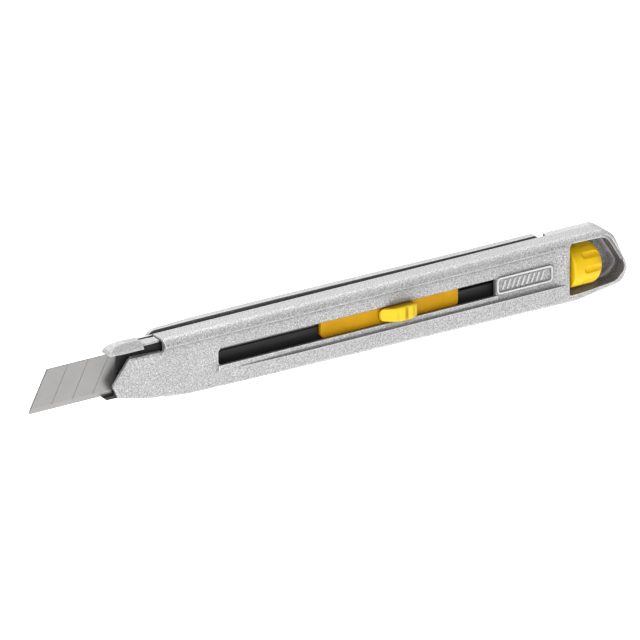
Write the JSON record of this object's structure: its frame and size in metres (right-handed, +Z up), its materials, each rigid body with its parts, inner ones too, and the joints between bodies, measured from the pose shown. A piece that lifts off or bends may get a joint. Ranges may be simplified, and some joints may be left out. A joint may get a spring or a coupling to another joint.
{
  "type": "snap off knife",
  "caption": "Slim snap-off utility knife with cast metal body, sliding thumb button, scored blade, pocket clip and fluted rear locking knob.",
  "frame": {"origin": "middle of the flat belly that the upright knife stands on, in the blade's plane", "axes": "+X from the blade's tip towards the tail, +Y from the thumb slot's side towards the clip's side, +Z up from the cutting edge to the spine"},
  "size_m": [0.1464, 0.0102, 0.0151],
  "materials": {
    "cast_body": "sand-textured silver powder coat on die casting",
    "clip_coat": "silver powder coat",
    "nose_cast": "silver powder coat, worn edges",
    "screw_steel": "zinc plated",
    "rivet_steel": "satin",
    "plain_steel": "turned",
    "spring_steel": "tempered",
    "blade_steel": "fine ground, satin",
    "black_rail": "matt black",
    "black_nut": "matt moulded",
    "yellow_plastic": "moulded",
    "button_plastic": "moulded, satin",
    "knob_plastic": "moulded, satin"
  },
  "bodies": {
    "housing": {"body_casing": "cast_body", "back_cover": "cast_body", "cover_screws": "screw_steel", "locating_pins": "plain_steel", "pocket_clip": "clip_coat", "clip_rivets": "rivet_steel"},
    "blade_frame": {"blade_channel": "black_rail", "nose_guide": "nose_cast", "nose_rivets": "rivet_steel", "frame_nut": "black_nut", "nut_rivets": "rivet_steel"},
    "slider": {"blade": "blade_steel", "slider_carrier": "yellow_plastic", "blade_hook_pin": "plain_steel", "lock_spring": "spring_steel"},
    "button": {"thumb_button": "button_plastic"},
    "knob": {"lock_knob": "knob_plastic", "knob_spindle": "plain_steel", "knob_washer": "plain_steel", "knob_pin": "plain_steel"}
  },
  "joints": [
    {"name": "knob_turn", "type": "hinge", "parent": "housing", "child": "knob", "pos_m": [0.0392, 0, 0.00649], "axis": [1, 0, 0], "range_deg": [0, 360.1]},
    {"name": "frame_slide", "type": "slide", "parent": "housing", "child": "blade_frame", "axis": [1, 0, 0], "range_m": [-0.003, 0]},
    {"name": "blade_slide", "type": "slide", "parent": "blade_frame", "child": "slider", "axis": [1, 0, 0], "range_m": [-0.035, 0.0188]},
    {"name": "button_press", "type": "slide", "parent": "slider", "child": "button", "axis": [0, 1, 0], "range_m": [0, 0.00045], "stiffness_N_per_m": 400, "springref_m": -0.0005}
  ],
  "couplings": [
    {"joint": "knob_turn", "follows": "frame_slide", "rad_per_m": -2094.4}
  ]
}
